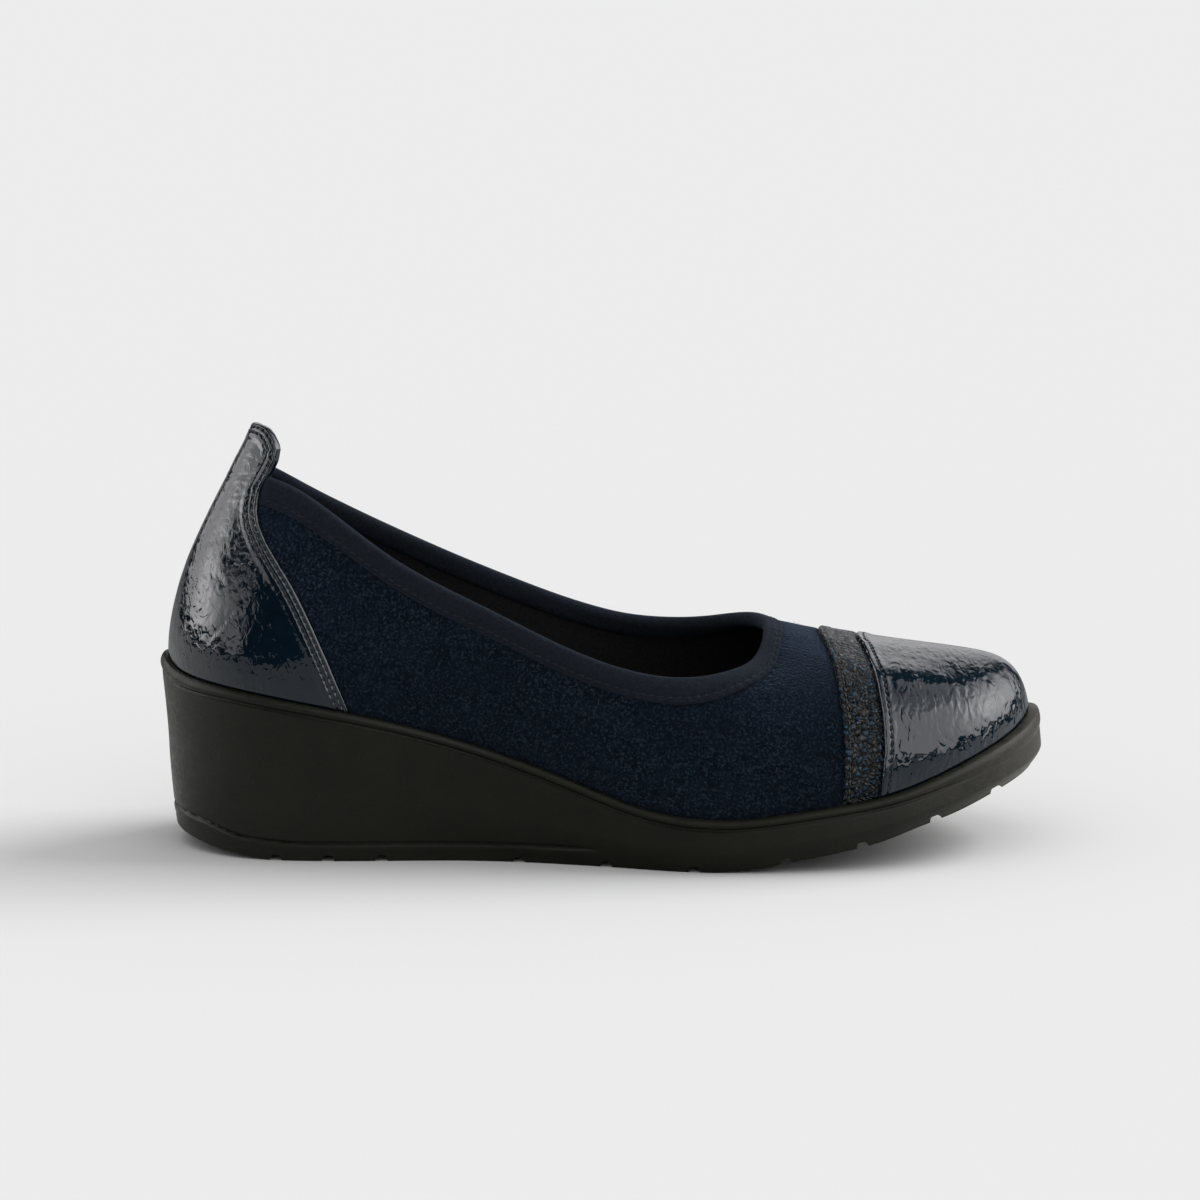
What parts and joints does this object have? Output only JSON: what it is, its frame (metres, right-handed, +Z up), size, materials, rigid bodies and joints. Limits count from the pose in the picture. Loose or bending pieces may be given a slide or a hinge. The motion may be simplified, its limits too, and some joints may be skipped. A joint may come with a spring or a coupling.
{
  "type": "wedge slip-on shoe",
  "caption": "Right women's slip-on shoe on a low wedge: fabric upper, taped collar, crinkle patent toe cap and tabbed heel counter, flecked instep strip and moulded sole.",
  "frame": {"origin": "centre of the bounding box in plan, at floor level under the sole", "axes": "+X towards the toe, +Y towards the inner (big toe) side, +Z up"},
  "size_m": [0.2484, 0.0886, 0.1203],
  "materials": {
    "sole_rubber": "satin black moulded polyurethane with a polished bead",
    "insole_cloth": "matt black lining cloth",
    "upper_fabric": "dark navy brushed stretch fabric with a short nap",
    "collar_tape": "dark navy elastic tape, fine rib, matt",
    "patent": "near-black navy crinkled patent leather, high gloss",
    "flecked_leather": "pebbled leather with teal and bronze flecks, half gloss"
  },
  "bodies": {
    "root": {"sole": "sole_rubber", "insole": "insole_cloth", "upper": "upper_fabric", "topline_binding": "collar_tape", "heel_counter": "patent", "instep_strip": "flecked_leather", "toe_cap": "patent"}
  },
  "joints": []
}
